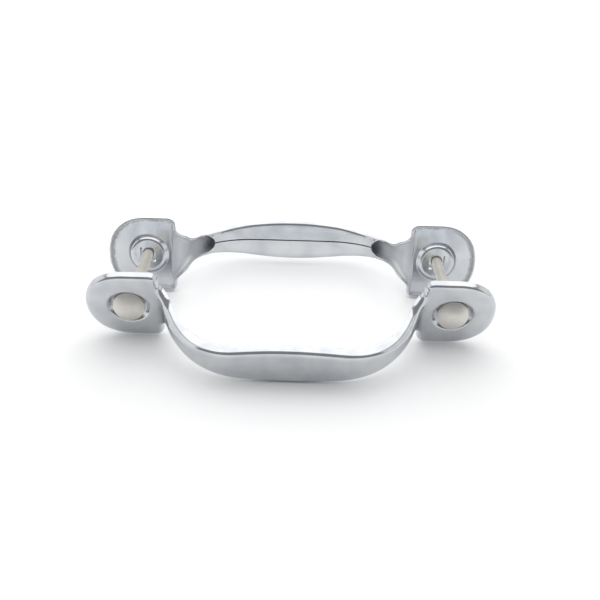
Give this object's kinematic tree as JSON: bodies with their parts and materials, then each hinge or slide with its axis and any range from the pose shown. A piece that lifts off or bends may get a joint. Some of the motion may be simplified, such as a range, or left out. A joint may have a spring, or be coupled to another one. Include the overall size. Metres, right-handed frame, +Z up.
{
  "type": "back-to-back pull handle pair",
  "caption": "Pair of pressed sheet-steel pull handles, back to back, joined through a door by square-neck round-head bolts with washers and nuts.",
  "frame": {"origin": "on the surface that the pair stands on, under the middle of its box", "axes": "+X along the handles to the right, +Y from the front handle to the rear one along the bolts, +Z up"},
  "size_m": [0.215, 0.14, 0.0449],
  "materials": {
    "handle_zinc": "bright zinc plate over pressed sheet steel, smooth, with faint draw lines",
    "bolt_zinc": "satin zinc plate on a cold-headed bolt, warm grey",
    "washer_zinc": "zinc plate on a stamped washer",
    "nut_zinc": "zinc plate on a hexagon nut"
  },
  "bodies": {
    "front_handle": {"front_handle": "handle_zinc"},
    "bolts": {"left_bolt": "bolt_zinc", "right_bolt": "bolt_zinc"},
    "washers": {"left_washer": "washer_zinc", "right_washer": "washer_zinc"},
    "left_nut": {"left_nut": "nut_zinc"},
    "right_nut": {"right_nut": "nut_zinc"},
    "rear_handle": {"rear_handle": "handle_zinc"}
  },
  "joints": [
    {"name": "front_rock", "type": "hinge", "parent": "front_handle", "child": "bolts", "pos_m": [0, -0.03068, 0.03093], "axis": [1, 0, 0], "range_deg": [0, 17]},
    {"name": "clamp_slide", "type": "slide", "parent": "bolts", "child": "washers", "axis": [0, 1, 0], "range_m": [-0.02, 0.008]},
    {"name": "left_nut_spin", "type": "hinge", "parent": "washers", "child": "left_nut", "pos_m": [-0.085, 0.03093, 0.02268], "axis": [0, 1, 0], "continuous": true},
    {"name": "right_nut_spin", "type": "hinge", "parent": "washers", "child": "right_nut", "pos_m": [0.085, 0.03093, 0.02268], "axis": [0, 1, 0], "continuous": true},
    {"name": "rear_rock", "type": "hinge", "parent": "washers", "child": "rear_handle", "pos_m": [0, 0.02933, 0.02868], "axis": [1, 0, 0], "range_deg": [0, 8.8]}
  ],
  "couplings": [
    {"joint": "left_nut_spin", "follows": "clamp_slide", "rad_per_m": 6283.2},
    {"joint": "right_nut_spin", "follows": "clamp_slide", "rad_per_m": 6283.2}
  ]
}
